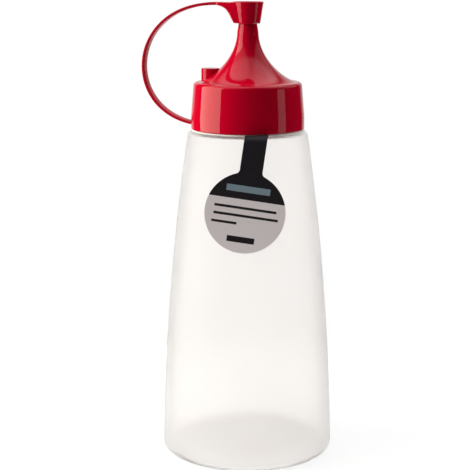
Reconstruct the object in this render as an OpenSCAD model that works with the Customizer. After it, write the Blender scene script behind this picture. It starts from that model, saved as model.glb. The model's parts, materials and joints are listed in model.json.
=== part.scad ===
// Squeeze bottle for sauce, with a screw cap, a pouring nozzle and a tip cap on a flexible strap.
// Millimetres. The bottle stands on z = 0 round the Z axis, and the strap loops out towards -X.

/* [Bottle] */
// Height of the flat ledge under the screw cap
ledge_z = 148.1; // [130:0.1:170]
// Outer radius at the table, before its corner is rounded
foot_r = 39; // [36:0.1:44]
// Outer radius that the flare would have at the ledge's height
shoulder_r = 26.7; // [26.5:0.1:29]
// How far the flare bulges past a straight cone at its middle
flare_bulge = 2.5; // [1:0.1:4]
// Wall thickness of the body
bottle_wall = 1.1; // [0.8:0.05:1.6]
// Radius of the rounded corner at the table
foot_corner_r = 3.3; // [2.5:0.1:5]
// Radius of the rounded corner round the ledge
shoulder_corner_r = 2.4; // [1.8:0.1:3]
// Width of the flat ring that the bottle stands on
rest_ring_w = 3.5; // [2:0.1:6]
// How far the middle of the base is pushed up
base_rise = 2.5; // [1:0.1:5]
// Thickness of the floor inside
floor_t = 1.6; // [1:0.1:2.5]

/* [Neck and thread] */
// Outer radius of the neck
neck_r = 21.2; // [20.5:0.05:22]
// Wall thickness of the neck
neck_wall = 1.5; // [1.2:0.05:2]
// Height of the neck above the ledge
neck_h = 18.95; // [17:0.05:24]
// Rise of the thread in one turn
thread_pitch = 4.2; // [3.6:0.1:5]
// Height of a thread ridge off the neck
thread_depth = 1.2; // [0.9:0.05:1.5]
// Width of a thread ridge where it leaves the wall
thread_root_w = 2.2; // [1.8:0.1:2.4]
// Width of a thread ridge at its crest
thread_crest_w = 1; // [0.6:0.1:1.2]
// Turns of thread on the neck, and in the cap
thread_turns = 1.25; // [1:0.05:1.5]
// Number of ridges that the thread is broken into
thread_ridges = 10; // [4:1:12]
// Break between two ridges, in degrees
thread_break = 5; // [3:0.5:12]
// Radial room between a crest and the wall it faces
thread_clear = 0.4; // [0.3:0.05:0.6]
// Distance from the neck's rim down to the upper end of its ridge
thread_drop = 4.8; // [4:0.1:7]

/* [Seal] */
// Thickness of the soft ring
seal_t = 1.05; // [0.8:0.05:2]
// Gap above and below the soft ring
seal_gap = 0.15; // [0.1:0.05:0.3]

/* [Screw cap] */
// Gap between the collar's rim and the ledge
rim_gap = 0.9; // [0.8:0.1:1.6]
// Wall thickness of the collar
collar_wall = 1.5; // [1.2:0.05:2]
// How much wider the collar is at its rim than at its deck
collar_flare = 1.1; // [0.4:0.1:2]
// Height of the straight band along the rim
rim_band_h = 5; // [3:0.5:8]
// Radius of the rounded edge round the deck
deck_edge_r = 1.8; // [1:0.1:2.2]
// Thickness of the deck and of the nozzle's wall
nozzle_wall = 1.4; // [1.1:0.05:1.6]

/* [Nozzle] */
// Width of the flat deck between the collar's side and the nozzle's flare
deck_w = 2.7; // [2.4:0.1:4]
// Height of the flare above the deck
flare_h = 22; // [18:0.5:30]
// Outer radius at the top of the flare
nozzle_r = 4.7; // [4.3:0.1:5.5]
// How long the flare stays level as it leaves the deck
flare_pull_low = 2.3; // [1:0.1:6]
// How long the flare stays upright below its top
flare_pull_high = 14; // [10:0.5:16]
// Lean of the nozzle's side at the top of the flare, in degrees
nozzle_lean = 1.7; // [0:0.1:4]
// Length of the straight tip above the flare
tip_h = 8.4; // [7:0.1:12]
// Outer radius at the end of the tip
tip_r = 3.4; // [3:0.1:3.8]
// Radius of the hole that the sauce comes out of
orifice_r = 1.6; // [1:0.1:2]
// Length of that hole
orifice_h = 3; // [2:0.1:4]

/* [Parking post] */
// Distance of the post from the nozzle's axis
post_x = 17; // [15:0.1:18]
// Height of the post above the deck
post_h = 5.8; // [5:0.1:8]

/* [Tip cap] */
// How far the tip cap reaches down the nozzle
grip_h = 4.7; // [3:0.1:6]
// Height of the tip cap
tip_cap_h = 9.5; // [8:0.1:12]
// Radial room between the post or the nozzle and the tip cap's socket
socket_clear = 0.18; // [0.1:0.02:0.3]
// Width of the bevel at the socket's mouth
mouth_bevel = 0.5; // [0.2:0.05:0.7]
// Gap between the nozzle's end and the socket's ceiling
ceiling_gap = 0.15; // [0.1:0.05:0.3]
// Wall thickness of the tip cap at its mouth
tip_cap_wall = 1.2; // [1:0.05:1.6]
// How much wider the tip cap is at its top than at its mouth
tip_cap_flare = 1.5; // [0.5:0.1:2.5]
// Depth of the dish in the tip cap's top
dish_h = 0.6; // [0.3:0.1:1]
// Width of the rim round that dish
dish_rim = 0.9; // [0.6:0.1:1.5]
// Distance from the nozzle's axis to the end of the wing
wing_l = 14; // [12:0.5:18]
// Angle at which the wing's underside leaves the tip cap's mouth, in degrees
wing_rise_low = 57; // [40:1:70]
// How far the wing's underside keeps to that angle
wing_pull_low = 4.8; // [2:0.1:6]
// Angle at which the wing's underside meets the strap, in degrees
wing_rise_high = 6; // [2:1:30]
// How far the wing's underside keeps to that angle
wing_pull_high = 6; // [2:0.1:8]

/* [Strap] */
// Width of the strap
strap_w = 5.5; // [4:0.1:7]
// Thickness of the strap
strap_t = 1.3; // [1:0.05:1.8]
// Height of the strap's root above the collar's rim
root_h = 2; // [1.5:0.1:3]
// Angle at which the strap rises from the collar, in degrees
root_rise = 11.4; // [0:0.1:25]
// How far the strap keeps going straight out from the collar
root_pull = 34; // [28:0.5:40]
// How far the strap keeps going level from the tip cap
tip_pull = 40; // [34:0.5:46]
// Length of the stub that is fixed to the collar
stub_l = 2.6; // [2:0.1:4]
// Gap in each bend between two links
bend_gap = 0.15; // [0.1:0.01:0.2]
// Depth of the strap's upper face below the tip cap's top
strap_drop = 0.2; // [0.1:0.05:0.5]

/* [Hang tag] */
// Thickness of the card
tag_t = 0.4; // [0.3:0.05:0.5]
// Gap between the card and the bottle
tag_gap = 0.3; // [0.2:0.05:0.35]
// Width of the card's stem
stem_w = 9.9; // [7:0.1:13]
// Radius of the card's disc
disc_r = 17.5; // [12:0.1:20]
// Height of the ledge above the disc's middle
tag_drop = 32.1; // [28:0.1:45]
// Lean of the card away from upright, in degrees
tag_skew = 8.4; // [0:0.1:12]
// Direction that the card faces, in degrees
tag_turn = -79; // [-110:1:-50]
// How far the stem lies off the card's middle where it folds
stem_shift = 3.7; // [0:0.1:5]
// Radial room between the card's ring and the thread
tag_ring_clear = 0.3; // [0.2:0.1:0.5]
// How far the card's ring stays inside the collar's rim
tag_ring_inset = 0.2; // [0:0.1:1]

/* [Hidden] */
strap_links = 4;
$fn = 96;

red = "#c8102e";

// The round end of a link is this much inside the strap's faces
knuckle_step = 0.03;
knuckle_r = strap_t / 2 - knuckle_step;

// The flare is an arc from [foot_r, 0] to [shoulder_r, ledge_z]
flare_chord = norm([foot_r - shoulder_r, ledge_z]);
flare_out = [ledge_z, foot_r - shoulder_r] / flare_chord;
flare_arc_r = (pow(flare_chord / 2, 2) + pow(flare_bulge, 2)) / (2 * flare_bulge);
flare_c = [(foot_r + shoulder_r) / 2, ledge_z / 2] - flare_out * (flare_arc_r - flare_bulge);
arc_steps = 20;
corner_steps = 8;

// Heights up the neck and the screw cap
neck_top = ledge_z + neck_h;
seal_z = neck_top + seal_gap;
ceiling_z = seal_z + seal_t + seal_gap;
deck_z = ceiling_z + nozzle_wall;
rim_z = ledge_z + rim_gap;
collar_top_r = neck_r + thread_depth + thread_clear + collar_wall;
rim_r = collar_top_r + collar_flare;
band_z = rim_z + rim_band_h;
edge_z = deck_z - deck_edge_r;
thread_z = neck_top - thread_drop - thread_turns * thread_pitch;
thread_lead = atan(thread_pitch / (2 * PI * neck_r));
thread_embed = 0.35;
cap_thread_start = -90;
neck_edge = 0.4;
seal_edge = 0.2;

// Nozzle
flare_top = [nozzle_r, deck_z + flare_h];
flare_curve = [
    [collar_top_r - deck_w, deck_z],
    [collar_top_r - deck_w - flare_pull_low, deck_z],
    flare_top + flare_pull_high * [sin(nozzle_lean), -cos(nozzle_lean)],
    flare_top
];
flare_steps = 20;
tip_z = flare_top.y + tip_h;
tip_edge = 0.35;
mouth_z = tip_z - grip_h;
post_r = nozzle_r + (tip_r - nozzle_r) * (mouth_z - flare_top.y) / tip_h;
post_edge = 0.25;

// Tip cap and its wing
socket_r = post_r + socket_clear;
mouth_r = socket_r + tip_cap_wall;
tip_cap_r = mouth_r + tip_cap_flare;
tip_cap_z = mouth_z + tip_cap_h;
wing_inset = 0.3;
wing_steps = 10;

// The strap's middle line is one curve in the XZ plane, from the collar to the wing's end
strap_root = [-rim_r, rim_z + root_h];
strap_tip = [-wing_l, tip_cap_z - strap_drop - strap_t / 2];
strap_curve = [
    strap_root,
    strap_root + root_pull * [-cos(root_rise), sin(root_rise)],
    strap_tip - [tip_pull, 0],
    strap_tip
];
strap_steps = 60;
link_steps = 14;
root_embed = 1.2;

// The card folds over the ledge's corner and then lies along the flare. Its flat parts overlap their neighbours
card_z = ledge_z + tag_gap + tag_t / 2;
fold_r = shoulder_corner_r + tag_gap + tag_t / 2;
fold_z = card_z - fold_r;
disc_z = ledge_z - tag_drop;
card_lean = asin((disc_z - flare_c.y) / flare_arc_r);
card_arc_r = flare_arc_r + tag_gap + tag_t / 2;
fold_x = flare_c.x + (card_arc_r - fold_r + (flare_c.y - fold_z) * sin(card_lean)) / cos(card_lean);
fold_l = fold_r * (90 - card_lean) * PI / 180;
fold_end = [fold_x + fold_r * cos(card_lean), 0, fold_z + fold_r * sin(card_lean)];
stem_l = (fold_end.z - disc_z) / cos(card_lean);
fold_steps = 8;
tag_ring_r = rim_r - tag_ring_inset;
tag_hole_r = neck_r + thread_depth + tag_ring_clear;
tab_embed = 0.35;
fold_embed = 0.2;
tab_ends = [min(fold_x, tag_hole_r + tab_embed), max(fold_x, tag_hole_r + tab_embed)];

function bezier(p, t) =
    pow(1 - t, 3) * p[0] + 3 * pow(1 - t, 2) * t * p[1] + 3 * (1 - t) * t * t * p[2] + pow(t, 3) * p[3];
function bezier_way(p, t) =
    let (d = pow(1 - t, 2) * (p[1] - p[0]) + 2 * (1 - t) * t * (p[2] - p[1]) + t * t * (p[3] - p[2]))
    d / norm(d);
function left_of(d) = [-d.y, d.x];
function arc(c, r, a0, a1, n) = [for (i = [0:n]) let (a = a0 + (a1 - a0) * i / n) c + r * [cos(a), sin(a)]];

// Points of the bottle's flare and its two corners, at a depth inside the outer surface
function flare_r_at(z, depth) =
    flare_c.x + sqrt(pow(flare_arc_r - depth, 2) - pow(z - flare_c.y, 2));
function foot_corner(depth) =
    let (c = [flare_r_at(foot_corner_r, 0) - foot_corner_r, foot_corner_r])
    arc(c, foot_corner_r - depth, -90, 0, corner_steps);
function shoulder_corner(depth) =
    let (
        z = ledge_z - shoulder_corner_r,
        a = asin((z - flare_c.y) / flare_arc_r),
        c = [flare_r_at(z, 0) - shoulder_corner_r * cos(a), z]
    )
    arc(c, shoulder_corner_r - depth, a, 90, corner_steps);
function flare_side(depth) =
    let (z0 = foot_corner_r, z1 = ledge_z - shoulder_corner_r)
    [for (i = [1:arc_steps - 1]) let (z = z0 + (z1 - z0) * i / arc_steps) [flare_r_at(z, depth), z]];

rest_in_r = flare_r_at(foot_corner_r, 0) - foot_corner_r - rest_ring_w;
inner_r = neck_r - neck_wall;

module bottle() {
    outside = concat(
        [[0, base_rise], [rest_in_r - base_rise, base_rise], [rest_in_r, 0]],
        foot_corner(0), flare_side(0), shoulder_corner(0),
        [[neck_r, ledge_z], [neck_r, neck_top - neck_edge], [neck_r - neck_edge, neck_top]]
    );
    inside = concat(
        [[0, base_rise + floor_t], [rest_in_r - base_rise, base_rise + floor_t], [rest_in_r, floor_t]],
        [for (p = foot_corner(bottle_wall)) if (p.y > floor_t) p], flare_side(bottle_wall),
        shoulder_corner(bottle_wall),
        [[inner_r, ledge_z - bottle_wall], [inner_r, neck_top]]
    );
    color("#f4f1ee", 0.6) {
        rotate_extrude() polygon(concat(outside, [for (i = [len(inside) - 1:-1:0]) inside[i]]));
        thread(1, 0);
    }
}

// The collar's inner wall, which is a cone from the rim to the ceiling
function skirt_r(z) =
    rim_r - collar_wall - collar_flare * max(0, z - band_z) / (ceiling_z - band_z);

// A thread as short ridges along a helix from angle a0. side is 1 on the neck and -1 in the collar
module thread(side, a0) {
    crest = side > 0 ? neck_r + thread_depth : neck_r + thread_clear;
    step = 360 * thread_turns / thread_ridges;
    span = step - thread_break;
    for (i = [0:thread_ridges - 1]) {
        a = a0 + (i + 0.5) * step;
        z = thread_z + thread_pitch * a / 360 - (side > 0 ? 0 : thread_pitch / 2);
        root = side > 0 ? neck_r - thread_embed : skirt_r(z) + thread_embed;
        rotate([0, 0, a]) translate([0, 0, z]) rotate([thread_lead, 0, 0]) rotate([0, 0, -span / 2])
            rotate_extrude(angle = span) polygon([
                [root, -thread_root_w / 2], [crest, -thread_crest_w / 2],
                [crest, thread_crest_w / 2], [root, thread_root_w / 2]
            ]);
    }
}

module neck_seal() {
    seal_r = skirt_r(ceiling_z) - seal_gap;
    color("#e9e6df") rotate_extrude() polygon([
        [inner_r + seal_edge, seal_z], [seal_r - seal_edge, seal_z],
        [seal_r, seal_z + seal_edge], [seal_r, seal_z + seal_t - seal_edge],
        [seal_r - seal_edge, seal_z + seal_t], [inner_r + seal_edge, seal_z + seal_t],
        [inner_r, seal_z + seal_t - seal_edge], [inner_r, seal_z + seal_edge]
    ]);
}

module screw_cap() {
    outside = concat(
        [[0, rim_z], [rim_r, rim_z], [rim_r, band_z]],
        arc([collar_top_r - deck_edge_r, edge_z], deck_edge_r, 4, 90, corner_steps),
        [for (i = [0:flare_steps]) bezier(flare_curve, i / flare_steps)],
        [[tip_r, tip_z - tip_edge], [tip_r - tip_edge, tip_z], [0, tip_z]]
    );
    cavity = concat(
        [[0, rim_z - 1], [rim_r - collar_wall, rim_z - 1], [rim_r - collar_wall, band_z]],
        [[skirt_r(ceiling_z), ceiling_z]],
        [for (i = [0:flare_steps]) let (t = i / flare_steps)
            bezier(flare_curve, t) + nozzle_wall * left_of(bezier_way(flare_curve, t))],
        [[orifice_r, tip_z - orifice_h], [orifice_r, tip_z + 1], [0, tip_z + 1]]
    );
    color(red) {
        difference() {
            union() {
                rotate_extrude() polygon(outside);
                translate([-post_x, 0, deck_z - nozzle_wall / 2]) {
                    cylinder(r = post_r, h = post_h + nozzle_wall / 2 - post_edge);
                    translate([0, 0, post_h + nozzle_wall / 2 - post_edge])
                        cylinder(r1 = post_r, r2 = post_r - post_edge, h = post_edge);
                }
                flat_band() band(-root_embed, bend_s(0));
                bend_pin(0, knuckle_r, strap_w);
            }
            rotate_extrude() polygon(cavity);
        }
        thread(-1, cap_thread_start);
    }
}

// Lengths along the strap, and the bends where one link ends and the next begins
function strap_run(i) =
    i == 0 ? 0 : strap_run(i - 1)
        + norm(bezier(strap_curve, i / strap_steps) - bezier(strap_curve, (i - 1) / strap_steps));
strap_table = [for (i = [0:strap_steps]) [strap_run(i), i / strap_steps]];
strap_l = strap_run(strap_steps);
function strap_point(s, off) =
    let (t = lookup(s, strap_table), d = bezier_way(strap_curve, t))
    bezier(strap_curve, t) + min(s, 0) * d + off * left_of(d);
function bend_s(i) = stub_l + (strap_l - stub_l) * i / strap_links;
function bend(i) = strap_point(bend_s(i), 0);

module flat_band() {
    rotate([90, 0, 0]) linear_extrude(strap_w, center = true) children();
}

module band(s0, s1) {
    runs = [for (i = [0:link_steps]) s0 + (s1 - s0) * i / link_steps];
    polygon(concat(
        [for (s = runs) strap_point(s, strap_t / 2)],
        [for (i = [link_steps:-1:0]) strap_point(runs[i], -strap_t / 2)]
    ));
}

// A round bar across the strap at one of its bends
module bend_pin(i, r, w) {
    translate([bend(i).x, 0, bend(i).y]) rotate([90, 0, 0]) cylinder(r = r, h = w, center = true, $fn = 32);
}

module strap_link(i) {
    color(red) difference() {
        union() {
            flat_band() band(bend_s(i - 1), bend_s(i));
            bend_pin(i, knuckle_r, strap_w);
        }
        bend_pin(i - 1, strap_t / 2 + bend_gap, 2 * strap_w);
    }
}

module tip_cap() {
    wing_under = [
        [-mouth_r, mouth_z],
        [-mouth_r, mouth_z] + wing_pull_low * [-cos(wing_rise_low), sin(wing_rise_low)],
        strap_tip - [0, strap_t / 2] + wing_pull_high * [cos(wing_rise_high), -sin(wing_rise_high)],
        strap_tip - [0, strap_t / 2]
    ];
    wing_side = concat(
        [[0, mouth_z]],
        [for (i = [0:wing_steps]) bezier(wing_under, i / wing_steps)],
        [strap_tip + [0, strap_t / 2], [0, strap_tip.y + strap_t / 2]]
    );
    color(red) difference() {
        union() {
            translate([0, 0, mouth_z]) cylinder(r1 = mouth_r, r2 = tip_cap_r, h = tip_cap_h);
            intersection() {
                rotate([90, 0, 0]) linear_extrude(4 * tip_cap_r, center = true) polygon(wing_side);
                hull() {
                    translate([0, 0, mouth_z - 1])
                        cylinder(r1 = mouth_r - wing_inset, r2 = tip_cap_r - wing_inset,
                            h = tip_cap_h + 2, $fn = 48);
                    translate([-wing_l - 1, -strap_w / 2, mouth_z - 1]) cube([2, strap_w, tip_cap_h + 2]);
                }
            }
        }
        translate([0, 0, mouth_z - 1]) cylinder(r = socket_r, h = grip_h + ceiling_gap + 1);
        translate([0, 0, mouth_z - mouth_bevel])
            cylinder(r1 = socket_r + 2 * mouth_bevel, r2 = socket_r, h = 2 * mouth_bevel);
        translate([0, 0, tip_cap_z - dish_h]) cylinder(r = tip_cap_r - dish_rim, h = dish_h + 1);
        bend_pin(strap_links, strap_t / 2 + bend_gap, 2 * strap_w);
    }
}

// A point of the card: u runs along it from the fold's start, v across it and n through it
function card_v(u) = stem_shift - u * tan(tag_skew);
function card(u, v, n) =
    let (a = 90 - u / fold_r * 180 / PI) [fold_x + (fold_r + n) * cos(a), v, fold_z + (fold_r + n) * sin(a)];

module hang_tag() {
    half = stem_w / 2 / cos(tag_skew);
    function stem_edge(u, side) = card_v(u) + side * half;
    stations = [for (i = [0:fold_steps]) fold_l * i / fold_steps];
    points = [for (u = stations) each [
        card(u, stem_edge(u, -1), -tag_t / 2), card(u, stem_edge(u, 1), -tag_t / 2),
        card(u, stem_edge(u, 1), tag_t / 2), card(u, stem_edge(u, -1), tag_t / 2)
    ]];
    sides = [for (i = [0:fold_steps - 1], k = [0:3]) each let (a = 4 * i + k, b = 4 * i + (k + 1) % 4)
        [[a, a + 4, b + 4], [a, b + 4, b]]];
    m = 4 * fold_steps;
    ends = [[0, 1, 2], [0, 2, 3], [m + 2, m + 1, m], [m + 3, m + 2, m]];
    color("#20242a") {
        translate([0, 0, card_z - tag_t / 2]) difference() {
            cylinder(r = tag_ring_r, h = tag_t);
            translate([0, 0, -1]) cylinder(r = tag_hole_r, h = tag_t + 2);
        }
        rotate([0, 0, tag_turn]) {
            translate([0, 0, card_z - tag_t / 2]) linear_extrude(tag_t) polygon(concat(
                [for (x = tab_ends) [x, stem_edge(x - fold_x, -1)]],
                [for (i = [1, 0]) [tab_ends[i], stem_edge(tab_ends[i] - fold_x, 1)]]
            ));
            polyhedron(points, concat(sides, ends));
            translate(fold_end) rotate([0, 90 - card_lean, 0]) linear_extrude(tag_t, center = true) {
                polygon([
                    [-fold_embed, stem_edge(fold_l - fold_embed, -1)],
                    [stem_l, stem_edge(fold_l + stem_l, -1)],
                    [stem_l, stem_edge(fold_l + stem_l, 1)],
                    [-fold_embed, stem_edge(fold_l - fold_embed, 1)]
                ]);
                translate([stem_l, card_v(fold_l + stem_l)]) circle(disc_r);
            }
        }
    }
}

bottle();
neck_seal();
screw_cap();
for (i = [1:strap_links])
    strap_link(i);
tip_cap();
hang_tag();
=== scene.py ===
# %% [markdown]
# # A squeeze bottle for sauce
# This script dresses a bottle that a imported model already holds as plain solids. That model says where every
# piece is and what moves. Here each piece gets its finished shape and its finish: a milky bottle, a glossy
# red screw cap with its nozzle, a small tip cap on a flexible strap, a soft seal and a card tag.
#
# The first step loads the model. No piece may grow past it.

# %% Load the frame
import json
import math

import bmesh
import bpy
import numpy as np
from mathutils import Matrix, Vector

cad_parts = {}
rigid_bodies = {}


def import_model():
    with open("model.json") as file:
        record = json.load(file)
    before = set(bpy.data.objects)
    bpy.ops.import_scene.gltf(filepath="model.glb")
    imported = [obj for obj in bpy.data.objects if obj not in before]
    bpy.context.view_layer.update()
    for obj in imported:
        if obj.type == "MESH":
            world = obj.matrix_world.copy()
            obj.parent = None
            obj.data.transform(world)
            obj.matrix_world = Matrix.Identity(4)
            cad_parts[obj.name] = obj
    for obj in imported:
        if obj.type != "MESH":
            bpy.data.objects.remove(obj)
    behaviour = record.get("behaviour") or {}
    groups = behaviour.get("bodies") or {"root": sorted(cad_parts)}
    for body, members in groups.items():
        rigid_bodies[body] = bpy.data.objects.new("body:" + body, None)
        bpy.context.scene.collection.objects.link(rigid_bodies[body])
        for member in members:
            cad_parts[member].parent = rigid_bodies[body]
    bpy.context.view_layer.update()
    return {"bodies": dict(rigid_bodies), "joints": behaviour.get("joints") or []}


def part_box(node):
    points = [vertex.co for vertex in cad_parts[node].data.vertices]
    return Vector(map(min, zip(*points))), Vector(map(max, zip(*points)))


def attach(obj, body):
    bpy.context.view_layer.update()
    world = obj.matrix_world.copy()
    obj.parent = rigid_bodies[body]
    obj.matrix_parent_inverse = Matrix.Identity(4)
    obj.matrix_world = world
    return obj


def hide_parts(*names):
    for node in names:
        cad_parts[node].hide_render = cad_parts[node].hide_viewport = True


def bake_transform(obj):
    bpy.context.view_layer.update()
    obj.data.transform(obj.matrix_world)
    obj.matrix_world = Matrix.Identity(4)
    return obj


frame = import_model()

MM = 0.001

# %% [markdown]
# ## Places that come from the frame
# The pieces of a real bottle fit because they share their sizes: the nozzle's tip and the cap on it, the neck
# and the collar. A place could be typed in again here, but then it would drift when the model changes. So
# each shared place is read from the frame, and only the sizes of the finish itself, such as a rounded edge,
# are named where they are first used.

# %% Places that the pieces share, in millimetres


def box_mm(node):
    """A node's lowest and highest corners at rest."""
    low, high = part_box(node)
    return low / MM, high / MM


cap_low, cap_high = box_mm("screw_cap")
tip_low, tip_high = box_mm("tip_cap")
seal_low, seal_high = box_mm("neck_seal")
neck_top = box_mm("bottle")[1].z
rim_r, rim_z = cap_high.x, cap_low.z
mouth_z, tip_z, tip_cap_z = tip_low.z, cap_high.z, tip_high.z
print("collar's rim:", round(rim_r, 2), "mm in radius, and the nozzle's tip at", round(tip_z, 2), "mm")

# %% [markdown]
# ## Skins from rings
# Every piece of the bottle is blown, moulded or cut, so its surface is one closed skin. It could be sculpted,
# or joined from simple solids, but then the faces would not follow the shape and the edges would be sharp.
# Here a piece is a row of rings: a turned part has round ones, the strap has small rounded rectangles.
# Joining each ring to the next gives clean four-sided faces, and a single point closes an end.

# %% Rings into a skin


def tidy(obj, sharp):
    """Faces turned outwards, smooth shading, and a crease where two faces meet at more than sharp degrees."""
    work = bmesh.new()
    work.from_mesh(obj.data)
    bmesh.ops.recalc_face_normals(work, faces=work.faces)
    for face in work.faces:
        face.smooth = True
    for edge in work.edges:
        edge.smooth = edge.calc_face_angle(0) < math.radians(sharp)
    work.to_mesh(obj.data)
    work.free()


def skin(name, rings, loop=False, sharp=40):
    """A mesh over rings of points in millimetres.

    A ring of one point closes an end, and loop joins the last ring to the first.
    """
    points, starts = [], []
    for ring in rings:
        starts.append(len(points))
        points.extend(np.asarray(ring, float).reshape(-1, 3) * MM)
    faces = []
    pairs = [(k, k + 1) for k in range(len(rings) - 1)] + ([(len(rings) - 1, 0)] if loop else [])
    for k, m in pairs:
        a, b = starts[k], starts[m]
        count = max(len(rings[k]), len(rings[m]))
        for i in range(count):
            j = (i + 1) % count
            if len(rings[k]) == 1:
                faces.append((a, b + j, b + i))
            elif len(rings[m]) == 1:
                faces.append((a + i, a + j, b))
            else:
                faces.append((a + i, a + j, b + j, b + i))
    mesh = bpy.data.meshes.new(name)
    mesh.from_pydata([tuple(p) for p in points], [], faces)
    obj = bpy.data.objects.new(name, mesh)
    bpy.context.scene.collection.objects.link(obj)
    tidy(obj, sharp)
    return obj


# %% Rings round the bottle's axis


def turned(profile, count, push=None):
    """Rings round Z from a profile of (radius, height). push adds to a radius by angle and height."""
    angles = np.linspace(0, 2 * math.pi, count, endpoint=False)
    rings = []
    for r, z in profile:
        if r <= 1e-6:
            rings.append([(0, 0, z)])
            continue
        radius = np.full(count, float(r)) + (push(angles, r, z) if push else 0)
        rings.append(np.stack([radius * np.cos(angles), radius * np.sin(angles), np.full(count, z)], 1))
    return rings


def arc(centre, radius, start, end, steps=5):
    """Points of a round corner in a profile, from angle start to angle end."""
    angles = np.radians(np.linspace(start, end, steps + 1))
    return [(centre[0] + radius * math.cos(a), centre[1] + radius * math.sin(a)) for a in angles]


def along(a, b, pitch):
    """Points of a straight wall from a to b, both left out, no further apart than pitch."""
    n = max(1, math.ceil(math.dist(a, b) / pitch))
    return [(a[0] + (b[0] - a[0]) * i / n, a[1] + (b[1] - a[1]) * i / n) for i in range(1, n)]


print("a round corner takes", len(arc((0, 0), 1, 0, 90)), "points")

# %% What a finished skin is made of


def tell(*pieces):
    """Prints each piece's faces, and its open edges, of which a closed skin has none."""
    for piece in pieces:
        work = bmesh.new()
        work.from_mesh(piece.data)
        gaps = sum(1 for edge in work.edges if len(edge.link_faces) != 2)
        print(f"{piece.name}: {len(work.faces)} faces, {gaps} open edges")
        work.free()


# %% [markdown]
# ## The thread
# The cap screws on a thread round the neck. It is moulded as short ridges with breaks between them that let
# air out. A ridge could be a solid of its own that is joined on, but as a swelling of the wall itself it
# stays part of one skin, and its foot runs into the wall without a seam. The collar's inside has the same
# ridges pointing inwards, half a pitch lower.

# %% The thread's ridges as a swelling of a wall
thread_pitch = 4.2
thread_turns = 1.25
thread_ridges = 10
thread_break = 5
thread_root_w = 2.2
thread_crest_w = 1.0
thread_depth = 1.2
thread_clear = 0.4
thread_drop = 4.8
ridge_end = 2.0
thread_z = neck_top - thread_drop - thread_turns * thread_pitch
ridge_step = 360 * thread_turns / thread_ridges


def thread_height(angles, z, start, shift):
    """Share of a ridge's full height at each angle, for one height z on the wall."""
    share = np.zeros(len(angles))
    for turn in range(-1, 3):
        a = np.degrees(angles) + 360 * turn - start
        centre = thread_z + thread_pitch * (a + start) / 360 + shift
        slope = (thread_root_w / 2 - np.abs(z - centre)) / ((thread_root_w - thread_crest_w) / 2)
        end = ((ridge_step - thread_break) / 2 - np.abs(a % ridge_step - ridge_step / 2)) / ridge_end
        here = np.clip(slope, 0, 1) * np.clip(end, 0, 1)
        share = np.maximum(share, np.where((a >= 0) & (a <= 360 * thread_turns), here, 0))
    return share


print(thread_ridges, "ridges, each", ridge_step - thread_break, "degrees long")

# %% [markdown]
# ## The bottle
# The bottle is blown in one piece, so its wall is thin and much the same everywhere, and all its edges are
# round. Its side is one long arc that leans in towards the shoulder. A solid with a see-through finish would
# look like a block of ice. So the profile is drawn twice, once outside and once a wall's thickness further
# in, and light passes through real walls as it does in the real bottle.

# %% The bottle's sizes and the arc of its side
ledge_z = 148.1
foot_r = 39.0
shoulder_r = 26.7
flare_bulge = 2.5
bottle_wall = 1.1
foot_corner_r = 3.3
shoulder_corner_r = 2.4

chord = math.hypot(foot_r - shoulder_r, ledge_z)
chord_out = (ledge_z / chord, (foot_r - shoulder_r) / chord)
flare_arc_r = ((chord / 2) ** 2 + flare_bulge**2) / (2 * flare_bulge)
flare_c = (
    (foot_r + shoulder_r) / 2 - chord_out[0] * (flare_arc_r - flare_bulge),
    ledge_z / 2 - chord_out[1] * (flare_arc_r - flare_bulge),
)
print("side's arc:", round(flare_arc_r), "mm in radius")

# %% The bottle's side, from foot to shoulder
side_steps = 60
foot_steps = 12
shoulder_steps = 10


def flare_r_at(z, depth=0.0):
    """The side's radius at a height, at a depth inside the outer surface."""
    return flare_c[0] + math.sqrt((flare_arc_r - depth) ** 2 - (z - flare_c[1]) ** 2)


def bottle_side(depth):
    """The foot's corner, the long arc and the shoulder's corner, at a depth inside the outer surface."""
    foot_c = (flare_r_at(foot_corner_r) - foot_corner_r, foot_corner_r)
    shoulder_z = ledge_z - shoulder_corner_r
    lean = math.degrees(math.asin((shoulder_z - flare_c[1]) / flare_arc_r))
    shoulder_c = (flare_r_at(shoulder_z) - shoulder_corner_r * math.cos(math.radians(lean)), shoulder_z)
    rise = shoulder_z - foot_corner_r
    heights = [foot_corner_r + rise * i / side_steps for i in range(1, side_steps)]
    return (
        arc(foot_c, foot_corner_r - depth, -90, 0, foot_steps)
        + [(flare_r_at(z, depth), z) for z in heights]
        + arc(shoulder_c, shoulder_corner_r - depth, lean, 90, shoulder_steps)
    )


print("radius half way up:", round(flare_r_at(ledge_z / 2), 2), "mm")

# %% [markdown]
# ### The base and the neck
# A blown base is pushed up in the middle, so that the bottle stands on a ring and doesn't rock. The steps
# from that ring to the raised middle are given as distances in from the ring and heights. The neck rises
# from the ledge with a small fillet, and its rings lie closer together where the thread swells.

# %% The bottle's base and neck
rest_ring_w = 3.5
base_rise = 2.5
floor_t = 1.6
dome_rise = 0.9
dome_radii = range(3, 27, 3)
foot_step = [(2.8, 2.5), (1.4, 1.2), (0.4, 0.25), (-0.4, 0.0)]
inner_step = [(0.2, 0.0), (1.4, 1.2), (3.0, 2.5)]
neck_r = 21.2
neck_wall = 1.5
neck_fillet = 0.8
lip_r = 0.5
thread_grid = 0.3
plain_grid = 4

ring_in = flare_r_at(foot_corner_r) - foot_corner_r - rest_ring_w
dome_out = ring_in - base_rise
dome = [(0, base_rise + dome_rise)]
dome += [(r, base_rise + dome_rise * (1 - (r / dome_out) ** 2)) for r in dome_radii]


def neck_outside():
    foot = arc((neck_r + neck_fillet, ledge_z + neck_fillet), neck_fillet, -90, -180)
    lip = arc((neck_r - lip_r, neck_top - lip_r), lip_r, 0, 90)
    return foot + along(foot[-1], lip[0], thread_grid) + lip


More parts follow.
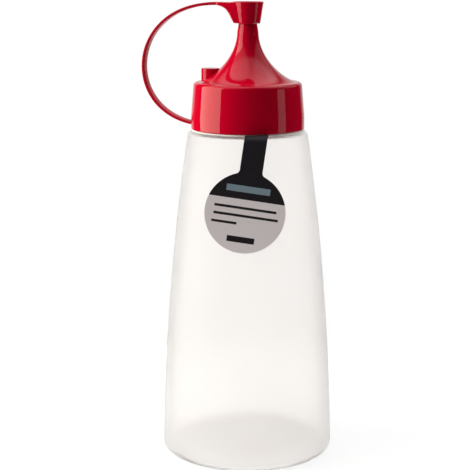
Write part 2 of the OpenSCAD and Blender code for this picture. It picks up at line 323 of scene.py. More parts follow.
def neck_inside():
    inner_r = neck_r - neck_wall
    lip = arc((inner_r + lip_r, neck_top - lip_r), lip_r, 90, 180)
    end = (inner_r, ledge_z - bottle_wall)
    return lip + along(lip[-1], end, plain_grid) + [end]


print("the bottle stands on a ring from", round(ring_in, 1), "to", round(ring_in + rest_ring_w, 1), "mm")

# %% The bottle's skin
around = 240


def make_bottle():
    outside = dome + [(ring_in - inward, z) for inward, z in foot_step] + bottle_side(0) + neck_outside()
    wall = [p for p in bottle_side(bottle_wall) if p[1] > base_rise]
    inside = neck_inside() + wall[::-1] + [(ring_in - inward, floor_t + z) for inward, z in inner_step]
    inside += [(r, floor_t + z) for r, z in reversed(dome)]

    def swell(angles, r, z):
        on_neck = abs(r - neck_r) < 0.01
        return thread_depth * thread_height(angles, z, 0, 0) if on_neck else 0

    return skin("bottle_body", turned(outside + inside, around, swell))


bottle = make_bottle()
tell(bottle)

# %% [markdown]
# ## The screw cap
# One glossy moulding holds the collar, the deck, the trumpet-shaped nozzle and the post that the tip cap can
# be parked on. The nozzle could be a cone with a bent side, but the real one runs into the deck in one sweep.
# A cubic curve gives that sweep: it leaves the deck flat and reaches the nozzle nearly upright. The cap's
# inside follows the same curve a wall's thickness away. All edges are slightly round, as a mould leaves
# them, because a perfectly sharp edge never catches the light.

# %% A cubic curve, and its direction


def bezier(points, t):
    p = np.array(points, float)
    t = np.asarray(t, float)[..., None]
    return (1 - t) ** 3 * p[0] + 3 * (1 - t) ** 2 * t * p[1] + 3 * (1 - t) * t**2 * p[2] + t**3 * p[3]


def bezier_way(points, t):
    p = np.array(points, float)
    t = np.asarray(t, float)[..., None]
    d = (1 - t) ** 2 * (p[1] - p[0]) + 2 * (1 - t) * t * (p[2] - p[1]) + t**2 * (p[3] - p[2])
    return d / np.linalg.norm(d, axis=-1, keepdims=True)


# %% The collar's and the nozzle's sizes
collar_flare = 1.1
collar_wall = 1.5
rim_band_h = 5.0
nozzle_wall = 1.4
deck_w = 2.7
flare_h = 22.0
nozzle_r = 4.7
flare_pull_low = 2.3
flare_pull_high = 14.0
nozzle_lean = 1.7
tip_r = 3.4
seal_gap = 0.15

collar_top_r = rim_r - collar_flare
band_z = rim_z + rim_band_h
ceiling_z = seal_high.z + seal_gap
deck_z = ceiling_z + nozzle_wall
flare_z = deck_z + flare_h
lean = math.radians(nozzle_lean)
flare_curve = [
    (collar_top_r - deck_w, deck_z),
    (collar_top_r - deck_w - flare_pull_low, deck_z),
    (nozzle_r + flare_pull_high * math.sin(lean), flare_z - flare_pull_high * math.cos(lean)),
    (nozzle_r, flare_z),
]
print("deck at", round(deck_z, 2), "mm, and the sweep ends at", round(flare_z, 2), "mm")

# %% The screw cap's profile outside
rim_edge_r = 0.35
deck_edge_r = 1.8
tip_edge_r = 0.35
plain_pitch = 1.5
band_crease = [(0.0, -0.4), (-0.02, 0.5)]
wall_lean, tip_lean = 4, 5
deck_steps = 14
flare_rows = np.linspace(0, 1, 49)
flare = bezier(flare_curve, flare_rows)


def cap_outside():
    """Up the collar, over the deck's edge, along the sweep and round the nozzle's tip."""
    points = arc((rim_r - rim_edge_r, rim_z + rim_edge_r), rim_edge_r, -90, 0)
    points += along(points[-1], (rim_r, band_z), plain_pitch)
    points += [(rim_r + off, band_z + up) for off, up in band_crease]
    edge_c = (collar_top_r - deck_edge_r, deck_z - deck_edge_r)
    edge = arc(edge_c, deck_edge_r, wall_lean, 90, deck_steps)
    points += along(points[-1], edge[0], plain_pitch) + edge + [tuple(p) for p in flare]
    tip = arc((tip_r - tip_edge_r, tip_z - tip_edge_r), tip_edge_r, tip_lean, 90)
    return points + along(points[-1], tip[0], plain_pitch) + tip


print("profile outside:", len(cap_outside()), "points")

# %% The screw cap's profile inside
orifice_r = 1.6
orifice_h = 3.0
orifice_edge_r = 0.3
orifice_step = 0.5


def skirt_r(z):
    """Inner radius of the collar's wall."""
    return rim_r - collar_wall - collar_flare * max(0, z - band_z) / (ceiling_z - band_z)


def cap_inside():
    """Down the nozzle's bore, along the sweep's inside and down the collar's wall to the rim."""
    ways = bezier_way(flare_curve, flare_rows)
    inner = flare + nozzle_wall * np.stack([-ways[:, 1], ways[:, 0]], 1)
    inner_top = min(tip_z - orifice_h - orifice_step, flare_z)
    points = arc((orifice_r + orifice_edge_r, tip_z - orifice_edge_r), orifice_edge_r, 90, 180, 4)
    points += [(orifice_r, tip_z - orifice_h)] + [tuple(p) for p in inner[::-1] if p[1] <= inner_top]
    wall_low = (rim_r - collar_wall, rim_z + rim_edge_r)
    wall_band = (rim_r - collar_wall, band_z)
    wall_high = (skirt_r(ceiling_z), ceiling_z)
    points += [wall_high] + along(wall_high, wall_band, thread_grid)
    points += [wall_band] + along(wall_band, wall_low, thread_grid)
    return points + arc((rim_r - collar_wall + rim_edge_r, rim_z + rim_edge_r), rim_edge_r, 180, 270)


print("profile inside:", len(cap_inside()), "points")

# %% The screw cap's skin


def make_screw_cap():
    def swell(angles, r, z):
        on_wall = rim_z + 0.5 < z < ceiling_z - 0.01 and abs(r - skirt_r(z)) < 0.01
        depth = skirt_r(z) - neck_r - thread_clear
        return -depth * thread_height(angles, z, -90, -thread_pitch / 2) if on_wall else 0

    return skin("screw_cap_body", turned(cap_outside() + cap_inside(), around, swell), loop=True)


screw_cap = make_screw_cap()
tell(screw_cap)

# %% [markdown]
# ### The post
# The post is the same width as the nozzle's tip, so that the tip cap fits both. It stands on the deck and
# partly in the sweep, where no ring of the cap can follow it. So it is a small turned part of its own, and a
# boolean union joins the two skins into one, with the foot sunk half way into the wall.

# %% The post, joined to the cap
post_x = 17.0
post_h = 5.8
post_edge_r = 0.3
post_foot_r = 0.5
post_around = 72
post_r = nozzle_r + (tip_r - nozzle_r) * (mouth_z - flare_z) / (tip_z - flare_z)


def make_post():
    foot_z = deck_z - nozzle_wall / 2
    side = arc((post_r + post_foot_r, deck_z + post_foot_r), post_foot_r, -90, -180)
    top = arc((post_r - post_edge_r, deck_z + post_h - post_edge_r), post_edge_r, 0, 90)
    profile = [(0, foot_z), (post_r + post_foot_r, foot_z)] + side + top + [(0, deck_z + post_h)]
    post = skin("post", turned(profile, post_around))
    post.location.x = -post_x * MM
    bpy.context.view_layer.update()
    return post


def union(obj, other, sharp=40):
    """Adds another solid to obj, so that both are one closed skin."""
    step = obj.modifiers.new("union", "BOOLEAN")
    step.operation = "UNION"
    step.solver = "EXACT"
    step.object = other
    graph = bpy.context.evaluated_depsgraph_get()
    joined = bpy.data.meshes.new_from_object(obj.evaluated_get(graph))
    obj.modifiers.clear()
    obj.data = joined
    bpy.data.objects.remove(other)
    tidy(obj, sharp)


union(screw_cap, make_post())
tell(screw_cap)

# %% [markdown]
# ## The tip cap and its wing
# The tip cap is a small cone with a dished top. On the strap's side its wall runs out into a wing that
# narrows to the strap's width. The wing could be joined on as the post is, but its fillets would then be
# lost. Seen from the cap's axis, no part of the outline hides another, so the whole cap can be a turned
# part whose radius changes with the angle. Soft minimum and maximum join the cone, the wing's two sides and
# its sloping underside with small fillets.

# %% The tip cap's sizes
grip_h = 4.7
socket_clear = 0.18
tip_cap_wall = 1.2
tip_cap_flare = 1.5
wing_l = 14.0
wing_inset = 0.3
strap_w = 5.5
strap_t = 1.3
strap_drop = 0.2

socket_r = post_r + socket_clear
mouth_r = socket_r + tip_cap_wall
wing_top = tip_cap_z - strap_drop
strap_tip = (-wing_l, wing_top - strap_t / 2)


def cone_r_at(z):
    return mouth_r + tip_cap_flare * (z - mouth_z) / (tip_cap_z - mouth_z)


print("socket:", round(socket_r, 2), "mm in radius, on a tip of", round(post_r, 2), "mm")

# %% The tip cap's outline, seen along its axis
wing_soft = 0.7
cone_soft = 0.25
widest = 1.4


def soft_min(a, b, k):
    """The smaller of two values, rounded over where they are within k of each other."""
    h = np.clip(0.5 + 0.5 * (b - a) / k, 0, 1)
    return b + (a - b) * h - k * h * (1 - h)


def wing_outline(turn, cone_r, reach):
    """The outline's radius at each angle from the strap's side, where the wing reaches out to reach."""
    circle_r = cone_r - wing_inset
    far, half = wing_l + 1, strap_w / 2
    slant = math.asin(circle_r / math.hypot(far, half)) - math.atan2(half, far)
    away = np.abs(turn)
    side = circle_r / np.cos(np.clip(away - (math.pi / 2 - slant), -widest, 0))
    front = reach / np.cos(np.clip(away, 0, widest))
    wing = soft_min(side, np.where(away < widest, front, circle_r), wing_soft)
    return -soft_min(np.full(len(turn), -cone_r), -wing, cone_soft)


# %% [markdown]
# ### The wing's underside and the dish
# From below, the cap's rings grow along a cubic curve: it leaves the cone's mouth steeply and runs out to
# the strap almost level, as the real web does. The angles lie closer together on the strap's side, where
# the outline turns most. The socket and the dish in the top are short rows of (radius, height).

# %% The tip cap's rows of rings
mouth_bevel = 0.5
ceiling_gap = 0.15
dish_h = 0.6
dish_rim = 0.9
wing_rise_low, wing_pull_low = 57, 4.8
wing_rise_high, wing_pull_high = 6, 6.0

wing_under_z = strap_tip[1] - strap_t / 2
socket_z = mouth_z + grip_h + ceiling_gap
dish_z = tip_cap_z - dish_h
top_r = cone_r_at(tip_cap_z)
low, high = np.radians(wing_rise_low), np.radians(wing_rise_high)
wing_under = [
    (mouth_r, mouth_z),
    (mouth_r + wing_pull_low * math.cos(low), mouth_z + wing_pull_low * math.sin(low)),
    (wing_l - wing_pull_high * math.cos(high), wing_under_z - wing_pull_high * math.sin(high)),
    (wing_l, wing_under_z),
]
socket_rows = [
    (socket_r - 0.4, socket_z),
    (socket_r, socket_z - 0.3),
    (socket_r, mouth_z + mouth_bevel),
    (socket_r + mouth_bevel, mouth_z),
    (mouth_r - 0.12, mouth_z),
]
dish_rows = [
    (top_r, wing_top + 0.06),
    (top_r - 0.04, tip_cap_z - 0.06),
    (top_r - 0.15, tip_cap_z),
    (top_r - dish_rim + 0.12, tip_cap_z),
    (top_r - dish_rim, tip_cap_z - 0.12),
    (top_r - dish_rim - 0.1, dish_z + 0.15),
    (top_r - dish_rim - 0.3, dish_z),
    (2.5, dish_z),
]
print("dish:", round(top_r - dish_rim, 2), "mm in radius and", dish_h, "mm deep")

# %% The tip cap's skin
wing_edge_r = 0.2
tip_around = 160
wing_rows = np.linspace(0.02, 1, 32)
side_rows = np.linspace(wing_under_z + 0.2, wing_top - wing_edge_r, 4)


def make_tip_cap():
    spread = np.linspace(-1, 1, tip_around + 1)[:-1]
    turn = np.sign(spread) * math.pi * np.abs(spread) ** 1.5

    def ring(radius, z):
        radius = np.broadcast_to(radius, turn.shape)
        return np.stack([-radius * np.cos(turn), -radius * np.sin(turn), np.broadcast_to(z, turn.shape)], 1)

    rings = [[(0, 0, socket_z)]] + [ring(r, z) for r, z in socket_rows]
    rings += [ring(wing_outline(turn, cone_r_at(z), out), z) for out, z in bezier(wing_under, wing_rows)]
    rings += [ring(wing_outline(turn, cone_r_at(z), wing_l), z) for z in side_rows]
    full = wing_outline(turn, cone_r_at(wing_top), wing_l)
    edge = np.maximum(full - wing_edge_r, cone_r_at(wing_top) - 0.001)
    rings += [ring(edge, wing_top - 0.03), ring(np.minimum(edge, top_r + 0.3), wing_top)]
    rings += [ring(r, z) for r, z in dish_rows] + [[(0, 0, dish_z)]]
    return skin("tip_cap_body", rings, sharp=50)


tip_cap = make_tip_cap()
tell(tip_cap)

# %% [markdown]
# ## The strap
# The strap is one flat band of soft plastic that springs from the collar in a wide loop. One mesh for all of
# it could only bend across one joint, and the frame bends it at a few. So it is cut half way between the
# bends, and each length lies over one bend. The cut faces meet exactly, so no seam shows.

# %% The strap's middle line
root_h = 2.0
root_rise = 11.4
root_pull = 34.0
tip_pull = 40.0

strap_root = np.array([-rim_r, rim_z + root_h])
strap_end = np.array(strap_tip)
root_way = np.array([-math.cos(math.radians(root_rise)), math.sin(math.radians(root_rise))])
strap_curve = [strap_root, strap_root + root_pull * root_way, strap_end - [tip_pull, 0], strap_end]
line_steps = np.linspace(0, 1, 2001)
line = bezier(strap_curve, line_steps)
line_runs = np.concatenate([[0], np.cumsum(np.linalg.norm(np.diff(line, axis=0), axis=1))])
strap_l = line_runs[-1]


def strap_place(run):
    """The line's place and direction at a run from the collar. It goes on straight past both its ends."""
    t = np.interp(run, line_runs, line_steps)
    way = bezier_way(strap_curve, t)
    return bezier(strap_curve, t) + (min(run, 0) + max(run - strap_l, 0)) * way, way


print("strap:", round(strap_l, 1), "mm long")

# %% Where the strap bends and where it is cut
root_embed = 1.0
tip_embed = 2.4

bends = [Vector(j["pos_m"]) / MM for j in frame["joints"] if j["name"].startswith("strap_")]
bend_runs = [line_runs[np.argmin(np.hypot(line[:, 0] - b.x, line[:, 1] - b.z))] for b in bends]
cuts = [-root_embed] + [(a + b) / 2 for a, b in zip(bend_runs, bend_runs[1:])] + [strap_l + tip_embed]
print("bends at", [round(float(b), 1) for b in bend_runs], "mm")
print("cuts at", [round(float(c), 1) for c in cuts], "mm")

# %% The strap's lengths
strap_edge_r = 0.28
strap_grid = 0.6
strap_edge_steps = 3


def strap_section():
    """A rounded rectangle: how far across the strap, and how far through it."""
    half_w, half_t, r = strap_w / 2, strap_t / 2, strap_edge_r
    corners = [(half_w - r, half_t - r, 0), (r - half_w, half_t - r, 90)]
    corners += [(r - half_w, r - half_t, 180), (half_w - r, r - half_t, 270)]
    return [p for x, y, a in corners for p in arc((x, y), r, a, a + 90, strap_edge_steps)]


def make_strap_length(name, start, end):
    rings = []
    for run in np.linspace(start, end, max(8, math.ceil((end - start) / strap_grid))):
        (x, z), (way_x, way_z) = strap_place(run)
        rings.append([(x - off * way_z, across, z + off * way_x) for across, off in strap_section()])
    first, last = np.mean(rings[0], axis=0), np.mean(rings[-1], axis=0)
    return skin(name, [[first]] + rings + [[last]], sharp=35)


strap = [make_strap_length(f"strap_length_{i + 1}", cuts[i], cuts[i + 1]) for i in range(len(bends))]
tell(*strap)

# %% [markdown]
# ## The seal
# A soft foam ring lies between the neck's rim and the cap's ceiling. It is hidden until the cap comes off.
# A flat washer would do for that, but foam rounds its own edges when it is punched, so the ring is turned
# from a rounded section.

# %% The seal's skin
seal_edge = 0.3
seal_edge_steps = 4
seal_around = 160


def make_seal():
    left, right = neck_r - neck_wall + seal_edge, seal_high.x - seal_edge
    low, high = seal_low.z + seal_edge, seal_high.z - seal_edge
    corners = [(left, low, 180), (right, low, -90), (right, high, 0), (left, high, 90)]
    profile = [p for x, z, a in corners for p in arc((x, z), seal_edge, a, a + 90, seal_edge_steps)]
    return skin("neck_seal_ring", turned(profile, seal_around), loop=True)


seal = make_seal()
tell(seal)

# %% [markdown]
# ## The card tag
# The tag is one die-cut card: a ring that lies on the bottle's ledge, a stem that folds over the shoulder
# and a round disc that hangs against the side. Cutting the disc out of a curved sheet would be awkward. So
# the card is drawn flat, as the die cuts it, and then each point is laid round the fold. Small fillets join
# the stem to the disc.

# %% The tag's sizes and its fold
tag_t = 0.4
tag_gap = 0.3
stem_w = 9.9
disc_r = 17.5
tag_drop = 32.1
tag_skew = 8.4
tag_turn = -79.0
stem_shift = 3.7

card_z = ledge_z + tag_gap + tag_t / 2
fold_r = shoulder_corner_r + tag_gap + tag_t / 2
fold_z = card_z - fold_r
disc_z = ledge_z - tag_drop
card_lean = math.asin((disc_z - flare_c[1]) / flare_arc_r)
card_arc_r = flare_arc_r + tag_gap + tag_t / 2
fold_run = card_arc_r - fold_r + (flare_c[1] - fold_z) * math.sin(card_lean)
fold_x = flare_c[0] + fold_run / math.cos(card_lean)
fold_l = fold_r * (math.pi / 2 - card_lean)
stem_l = (fold_z + fold_r * math.sin(card_lean) - disc_z) / math.cos(card_lean)
skew = math.radians(tag_skew)
disc_p = (fold_l + stem_l) / math.cos(skew)


def fold(p, q, n):
    """A point of the flat card, laid over the shoulder: p along it, q across it, n through it."""
    u = p * math.cos(skew) + q * math.sin(skew)
    v = stem_shift - p * math.sin(skew) + q * math.cos(skew)
    a = math.pi / 2 - min(max(u, 0), fold_l) / fold_r
    past = max(u - fold_l, 0)
    x = fold_x + (fold_r + n) * math.cos(a) + min(u, 0) + past * math.sin(card_lean)
    z = fold_z + (fold_r + n) * math.sin(a) - past * math.cos(card_lean)
    t = math.radians(tag_turn)
    return (x * math.cos(t) - v * math.sin(t), x * math.sin(t) + v * math.cos(t), z)


print("the disc's middle is", round(disc_p, 1), "mm along the card")

# %% The tag's skin
tag_ring_inset = 0.2
tag_ring_clear = 0.3
disc_fillet = 2.0
stem_start = -1.6
stem_grid = 0.45
disc_rows = 90
tag_across = 24
ring_around = 160
ring_r = rim_r - tag_ring_inset
hole_r = neck_r + thread_depth + tag_ring_clear


def card_half_width(p):
    """Half the card's width at a distance p along its own middle line."""
    half = stem_w / 2
    fillet_p = disc_p - math.sqrt((disc_r + disc_fillet) ** 2 - (half + disc_fillet) ** 2)
    touch_p = disc_p + (fillet_p - disc_p) * disc_r / (disc_r + disc_fillet)
    if p < fillet_p:
        return half
    if p < touch_p:
        return half + disc_fillet - math.sqrt(disc_fillet**2 - (p - fillet_p) ** 2)
    return math.sqrt(max(disc_r**2 - (p - disc_p) ** 2, 0))


def make_tag():
    stem = np.arange(stem_start, disc_p - disc_r, stem_grid)
    disc = disc_p - disc_r * np.cos(np.linspace(0.0, math.pi, disc_rows))
    rings = []
    for p in [*stem, *disc[1:-1], disc_p + disc_r - 0.002]:
        half = card_half_width(p)
        qs = np.linspace(-half, half, tag_across)
        rings.append([fold(p, q, tag_t / 2) for q in qs] + [fold(p, q, -tag_t / 2) for q in qs[::-1]])
    rings = [[tuple(np.mean(rings[0], axis=0))]] + rings + [[tuple(np.mean(rings[-1], axis=0))]]
    card = skin("hang_tag_card", rings, sharp=35)
    low, high = card_z - tag_t / 2, card_z + tag_t / 2
    section = [(hole_r, low), (ring_r, low), (ring_r, high), (hole_r, high)]
    union(card, skin("ring", turned(section, ring_around), loop=True), 35)
    return card


tag = make_tag()
tell(tag)

# %% [markdown]
# ## Shader maths in Python
# A finish is a small graph of nodes. Written out socket by socket it is hard to read, so one class wraps a
# socket and lets Python's own signs add the Math nodes. Any other node comes from one method that takes the
# node's type, its settings and its inputs.

# %% A value that changes over a surface


class Value:
    """One output socket of a graph, which can be used in an expression."""

    def __init__(self, graph, socket):
        self.graph = graph
        self.socket = socket

    def maths(self, operation, *inputs):
        return self.graph.node("ShaderNodeMath", {"operation": operation}, enumerate(inputs))

    def __add__(self, other):
        return self.maths("ADD", self, other)

    def __radd__(self, other):
        return self.maths("ADD", other, self)

    def __sub__(self, other):
        return self.maths("SUBTRACT", self, other)

    def __rsub__(self, other):
        return self.maths("SUBTRACT", other, self)

    def __mul__(self, other):
        return self.maths("MULTIPLY", self, other)

    def __rmul__(self, other):
        return self.maths("MULTIPLY", other, self)

    def __truediv__(self, other):
        return self.maths("DIVIDE", self, other)

    def __rtruediv__(self, other):
        return self.maths("DIVIDE", other, self)

    def __abs__(self):
        return self.maths("ABSOLUTE", self)


# %% A graph of nodes


class Graph:
    """The nodes of a finish or of the room, with short ways to add to them."""

    def __init__(self, tree):
        self.tree = tree

    def feed(self, socket, value):
        if isinstance(value, Value):
            self.tree.links.new(value.socket, socket)
        elif isinstance(value, (tuple, list)) and socket.type == "RGBA":
            socket.default_value = (*value[:3], 1.0)
        else:
            socket.default_value = value

    def node(self, kind, settings=(), inputs=(), output=0):
        """Adds a node: its settings first, then the values or links of its sockets."""
        made = self.tree.nodes.new(kind)
        for name, value in dict(settings).items():
            setattr(made, name, value)
        for name, value in dict(inputs).items():
            self.feed(made.inputs[name], value)
        return None if output is None else Value(self, made.outputs[output])

    def vector(self, operation, a, b, output=0):
        return self.node("ShaderNodeVectorMath", {"operation": operation}, {0: a, 1: b}, output)

    def step(self, value, low, high):
        """0 below low and 1 above high, with a soft slope between them."""
        inputs = {"Value": value, "From Min": low, "From Max": high}
        return self.node("ShaderNodeMapRange", {"interpolation_type": "SMOOTHSTEP"}, inputs)

    def mix(self, share, a, b):
        """Colour a where share is 0 and colour b where it is 1."""
        return self.node("ShaderNodeMix", {"data_type": "RGBA"}, {0: share, 6: a, 7: b}, 2)


# %% A finish


class Finish(Graph):
    """A material with one Principled shader. Constants are the shader's own settings."""

    def __init__(self, name, **constants):
        self.material = bpy.data.materials.new(name)
        self.material.use_nodes = True
        super().__init__(self.material.node_tree)
        self.shader = self.tree.nodes["Principled BSDF"]
        self.set(**constants)

    def set(self, **values):
        """Sets the shader's sockets. A name's underscores stand for spaces."""
        for name, value in values.items():
            self.feed(self.shader.inputs[name.replace("_", " ")], value)

    def places(self):
        """The piece's own coordinates, in metres."""
        return self.node("ShaderNodeTexCoord", output="Object")

    def noise(self, size_mm, detail=2.0, roughness=0.5, stretch=None):
        """Soft noise from 0 to 1 whose spots are about size_mm across."""
        where = self.places()
        if stretch:
            where = self.vector("MULTIPLY", where, stretch)
        inputs = {"Vector": where, "Scale": 1 / (size_mm * MM), "Detail": detail, "Roughness": roughness}
        return self.node("ShaderNodeTexNoise", {"noise_dimensions": "3D"}, inputs, "Fac")

    def bump(self, height, depth_mm):
        return self.node("ShaderNodeBump", {}, {"Height": height, "Distance": depth_mm * MM}, "Normal")


# %% [markdown]
# ## The milky plastic
# Squeeze bottles are blown from natural, undyed plastic. Light passes through it but is blurred on the way,
# so what is behind shows only as a soft shade. A mix with plain white would dull that, and a real milky
# volume is slow and noisy. Here nearly all light passes, through a rough surface that blurs it. A low index
# of refraction keeps the edges pale, because a thin wall bends light far less than thick glass. The blown
# skin isn't quite even: long soft waves and a fine grain break up its gloss.

# %% The bottle's finish
milky_colour = (0.990, 0.975, 0.962)
milky_shade = (0.977, 0.958, 0.943)


def milky_plastic():
    finish = Finish("milky plastic", IOR=1.14, Transmission_Weight=0.95, Specular_IOR_Level=0.8)
    cloud = finish.noise(30, detail=3.0, roughness=0.55)
    finish.set(Base_Color=finish.mix(finish.step(cloud, 0.35, 0.7), milky_colour, milky_shade))
    finish.set(Roughness=0.30 + 0.10 * finish.noise(6))
    waves = finish.noise(9, stretch=(1, 1, 0.35))
    grain = finish.noise(0.7, detail=1.0)
    finish.set(Normal=finish.bump(waves + 0.15 * grain, depth_mm=0.05))
    return finish.material


bottle.data.materials.append(milky_plastic())
print("bottle:", bottle.data.materials[0].name)

# %% [markdown]
# ## The red plastic
# The cap's red is dyed through and moulded against polished steel, so its gloss is sharp. A perfectly even
# gloss would look like paint on glass. Polished steel still has faint waves and moulding leaves fine flow
# marks, and both show only in the reflections. The strap is the same plastic, but it is thin and gets bent,
# so its gloss is duller.

# %% The cap's and the strap's finish
red_colour = (0.54, 0.0005, 0.020)
red_deep = (0.49, 0.0004, 0.017)


def red_plastic(name, dullness):
    finish = Finish(name, IOR=1.5, Specular_IOR_Level=0.25)
    cloud = finish.noise(14)
    finish.set(Base_Color=finish.mix(cloud, red_colour, red_deep))
    finish.set(Roughness=dullness + 0.04 * finish.noise(3, detail=3.0))
    finish.set(Normal=finish.bump(finish.noise(5, detail=1.5), depth_mm=0.008))
    return finish.material


polished_red = red_plastic("polished red plastic", dullness=0.03)
satin_red = red_plastic("satin red plastic", dullness=0.36)
for piece in [screw_cap, tip_cap]:
    piece.data.materials.append(polished_red)
for piece in strap:
    piece.data.materials.append(satin_red)
print("cap:", polished_red.name, "and strap:", satin_red.name)

# %% [markdown]
# ## The foam
# The seal is pale foam. Its pores are far too small to model, so fine noise gives both their dents and their
# painted shade, darker spots where shade falls in the pores.

# %% The seal's finish
foam_pale = (0.86, 0.84, 0.79)
# The second colour is painted shade: the darker look of shade in the pores' hollows.
foam_pore_shade = (0.76, 0.73, 0.67)


def foam():
    finish = Finish("pale foam", Roughness=0.85)
    pore_dents_and_shade = finish.noise(0.4, detail=3.0, roughness=0.7)
    # Darker spots of painted shade where the pores are; the same noise dents the surface below.
    finish.set(Base_Color=finish.mix(pore_dents_and_shade, foam_pale, foam_pore_shade))
    finish.set(Normal=finish.bump(pore_dents_and_shade, depth_mm=0.08))
    return finish.material


seal.data.materials.append(foam())
print("seal:", seal.data.materials[0].name)

# %% [markdown]
# ## The printed card
# The tag is coated card: near black above, pale grey below, and bare where it lies under the collar. The
# words of a real tag are left out, and a few plain bars keep their place. A picture of them would be quick,
# but it would go soft close up and needs a file. So each bar is a box in the card's own plane: a soft step
# on the length up the card, times one on the length across it.

# %% The inks and the places of the bars
ink_black = (0.010, 0.0075, 0.012)
ink_grey = (0.86, 0.79, 0.82)
ink_pale = (0.22, 0.30, 0.36)
paper = (0.90, 0.88, 0.85)
print_line = 5.7
print_soft = 0.08
# Each bar: how far up and across from the disc's middle, its height and its width, in millimetres
dark_bars = [(1.97, -0.1, 1.1, 27), (-1.4, 0.5, 1.1, 28), (-4.9, -8.5, 1.1, 11), (-11.7, -0.3, 2.6, 12)]
pale_bar = (10.2, 0, 2.8, 19)

disc_centre = Vector(fold(disc_p, 0, 0))
card_up = (Vector(fold(disc_p - 1, 0, 0)) - disc_centre).normalized()
card_across = (Vector(fold(disc_p, 1, 0)) - disc_centre).normalized()
print("the disc faces", [round(x, 2) for x in card_across.cross(card_up)])

# %% The tag's finish


def printed_card():
    finish = Finish("printed card", IOR=1.45, Specular_IOR_Level=0.25)
    here = finish.vector("SUBTRACT", finish.places(), tuple(disc_centre * MM))
    up = finish.vector("DOT_PRODUCT", here, tuple(card_up), "Value") / MM
    across = finish.vector("DOT_PRODUCT", here, tuple(card_across), "Value") / MM
    flat = finish.vector("MULTIPLY", finish.places(), (1, 1, 0))
    from_axis = finish.vector("LENGTH", flat, (0, 0, 0), "Value") / MM

    def within(value, middle, width):
        """1 inside a band of that width round middle, and 0 outside it."""
        return finish.step(width / 2 - abs(value - middle), -print_soft, print_soft)

    def bar(middle_up, middle_across, height, width):
        return within(up, middle_up, height) * within(across, middle_across, width)

    upper = finish.step(up, print_line - print_soft, print_line + print_soft)
    ink = finish.mix(upper, ink_grey, ink_black)
    for place in dark_bars:
        ink = finish.mix(bar(*place), ink, ink_black)
    ink = finish.mix(bar(*pale_bar), ink, ink_pale)
    fibres = finish.noise(0.8, detail=3.0, roughness=0.6)
    printed = finish.step(from_axis, ring_r + 0.05, ring_r + 0.12)
    finish.set(Base_Color=finish.mix(printed, paper, finish.mix(0.015 * fibres, ink, paper)))
    finish.set(Roughness=0.38 + 0.2 * fibres)
    finish.set(Normal=finish.bump(fibres, depth_mm=0.02))
    return finish.material


tag.data.materials.append(printed_card())
print("tag:", tag.data.materials[0].name, "with", len(tag.data.materials[0].node_tree.nodes), "nodes")

# %% [markdown]
# ## What moves with what
# A rigid piece rides on the body that carries it, and the plain solid that it stands for is hidden. Parenting
# each piece by hand could do the same, but the frame already knows the bodies by name, so naming them is
# enough.

# %% The rigid pieces ride
pieces = [
    (bottle, "bottle", "bottle", "bottle"),
    (screw_cap, "screw_cap", "screw_cap", "cap"),
    (tip_cap, "tip_cap", "tip_cap", "cap"),
    (seal, "neck_seal", "neck_seal", "seal"),
    (tag, "hang_tag", "hang_tag", "tag"),
]
for piece, body, node, slot in pieces:
    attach(piece, body)
    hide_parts(node)
print(len(pieces), "pieces ride on their own bodies")

# %% [markdown]
# ### The strap's lengths
# A rigid strap would tear at every hinge. Round each bend a stretch is found, from a place before it to one
# after it, nearly as long as the length itself, so that a bend could be spread out as it is in soft plastic.
# Only the last length's stretch ends close to its bend, because the stiff wing begins there. Nothing here
# makes a length follow the bodies: each keeps its shape at rest, and the plain links it stands for are hidden.

# %% The strap's lengths stay at rest
chain = ["screw_cap", *sorted(name for name in frame["bodies"] if name.startswith("strap_")), "tip_cap"]
links = [f"strap_link_{i + 1}" for i in range(len(chain) - 2)]
bend_reach = 0.45 * (bend_runs[1] - bend_runs[0])
wing_reach = 0.4
for i, piece in enumerate(strap):
    before = min(bend_runs[i] - cuts[i], bend_reach) if i > 0 else bend_runs[0]
    after = min(cuts[i + 1] - bend_runs[i], bend_reach) if i < len(strap) - 1 else wing_reach
    (x0, z0), _ = strap_place(bend_runs[i] - before)
    (x1, z1), _ = strap_place(bend_runs[i] + after)
    x0 * MM
    z0 * MM
    x1 * MM
    z1 * MM
    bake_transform(piece)
    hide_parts(*links[max(i - 1, 0):i + 1])
print("the strap's lengths bend between", chain)

# %% [markdown]
# ## The camera
# The camera stands where the photograph's did, a little above the bottle's top and to its right, and looks
# slightly down. A long lens keeps the bottle's sides nearly straight, as a product photograph does.

# %% Camera
camera_place = Vector((0.1070, -0.5803, 0.2200))
camera_plan = Vector((-0.1908, 0.9816, 0)).normalized()
camera_pitch = math.radians(11.5)

camera_data = bpy.data.cameras.new("camera")
camera_data.lens = 100.95
camera_data.sensor_width = 36.0
camera_data.clip_start = 0.01
camera = bpy.data.objects.new("camera", camera_data)
bpy.context.scene.collection.objects.link(camera)
look = camera_plan * math.cos(camera_pitch) - Vector((0, 0, math.sin(camera_pitch)))
camera.location = camera_place
camera.rotation_mode = "QUATERNION"
camera.rotation_quaternion = look.to_track_quat("-Z", "Y")
bpy.context.scene.camera = camera
bpy.context.scene.view_settings.view_transform = "Standard"
print("camera:", round(camera_place.length, 3), "m from the bottle's foot")

# %% [markdown]
# ## The floor
# The floor is a plain pale disc. A real studio table is lit from all round until it is as white as the
# wall behind. Lamps for that would also show in the glossy cap, so most of the disc's white is a glow of
# its own. The rest is light that falls on it, so that a faint shade still lies under the bottle.

# %% The floor
floor_r = 170.0
floor_top, floor_under = -0.02, -4
floor_around = 128


def make_floor():
    edge = [(floor_r, floor_top), (floor_r, floor_under)]
    floor = skin("floor", turned([(0, floor_top), *edge, (0, floor_under)], floor_around))
    finish = Finish("pale floor", Roughness=0.6)
    finish.set(Base_Color=(0.18, 0.18, 0.18), Emission_Color=(1, 1, 1), Emission_Strength=0.78)
    floor.data.materials.append(finish.material)
    return floor


tell(make_floor())

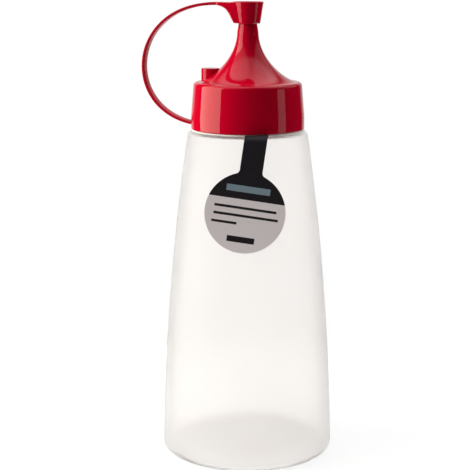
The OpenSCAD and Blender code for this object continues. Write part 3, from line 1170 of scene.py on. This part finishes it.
# %% [markdown]
# ## The lamps
# Gloss shows its surroundings, so the lamps are placed by where their reflections fall on the collar: a
# large soft one on the left and a narrow, dimmer one on the right, with a dark gap between them. Both are
# hidden from light that has passed through the bottle, or they would show as bright patches in its wall.

# %% Two soft lamps
aim = Vector((0, 0, 0.11))


def towards(azimuth, elevation):
    """A direction from the bottle. Azimuth is 0 towards the camera, and positive to its right."""
    a, e = math.radians(azimuth), math.radians(elevation)
    right = Vector((camera_plan.y, -camera_plan.x, 0))
    return (-camera_plan * math.cos(a) + right * math.sin(a)) * math.cos(e) + Vector((0, 0, math.sin(e)))


def make_lamp(name, azimuth, elevation, width, height, brightness, colour, distance=0.80):
    """A soft rectangle that faces the bottle."""
    data = bpy.data.lights.new(name, "AREA")
    data.shape = "RECTANGLE"
    data.size, data.size_y = width, height
    data.energy = brightness * math.pi * width * height
    data.color = colour
    lamp = bpy.data.objects.new(name, data)
    bpy.context.scene.collection.objects.link(lamp)
    way = towards(azimuth, elevation)
    lamp.location = aim + way * distance
    lamp.rotation_mode = "QUATERNION"
    lamp.rotation_quaternion = (-way).to_track_quat("-Z", "Y")
    lamp.visible_transmission = False
    return lamp


key = make_lamp("key", -84.4, 12, width=0.83, height=0.85, brightness=5.0, colour=(1.0, 0.96, 0.84))
strip = make_lamp("strip", 72, -5, width=0.26, height=0.44, brightness=1.4, colour=(1.0, 0.97, 0.92))
print("key:", round(key.data.energy, 2), "W and strip:", round(strip.data.energy, 2), "W")

# %% [markdown]
# ## The room
# Everything else comes from the room. It is dark in front, which gives the cap its deep middle, and it
# glows softly behind, above and below, which shapes the cap's edges. Real cards and cloths could do that,
# but they would stand in the way of other views. So the glows are only directions in the background.
# What is seen straight on, or through the bottle's wall, is plain white, so that the bottle looks equally
# milky from every side.

# %% Glows of the room
# Each glow: azimuth, elevation, the cosines where it starts and where it is full, and its brightness
room_glows = {
    "backdrop": (180, 0, 0.74, 0.90, 0.94),
    "ceiling": (180, 80, 0.68, 0.84, 1.5),
    "left wall": (-75, 58, 0.76, 0.92, 1.2),
    "right wall": (110, 46, 0.78, 0.90, 0.95),
    "table behind": (180, -52, 0.66, 0.88, 0.95),
    "table at the right": (110, -58, 0.72, 0.84, 3.2),
    "table at the left": (-110, -58, 0.72, 0.84, 2.4),
}
room_dark = 0.015


def make_room():
    world = bpy.data.worlds.new("studio")
    world.use_nodes = True
    world.node_tree.nodes.clear()
    bpy.context.scene.world = world
    room = Graph(world.node_tree)
    way = room.node("ShaderNodeTexCoord", output="Generated")
    light = room_dark
    for azimuth, elevation, start, full, brightness in room_glows.values():
        cosine = room.vector("DOT_PRODUCT", way, tuple(towards(azimuth, elevation)), "Value")
        light = light + brightness * room.step(cosine, start, full)
    glow = room.node("ShaderNodeBackground", {}, {"Strength": light})
    white = room.node("ShaderNodeBackground", {}, {"Color": (1, 1, 1), "Strength": 1.0})
    seen = room.node("ShaderNodeLightPath", output="Is Camera Ray")
    through = room.node("ShaderNodeLightPath", output="Is Transmission Ray")
    pick = room.node("ShaderNodeMixShader", {}, {0: seen + through, 1: glow, 2: white})
    room.node("ShaderNodeOutputWorld", {}, {"Surface": pick}, output=None)


make_room()
print("room:", len(room_glows), "glows")
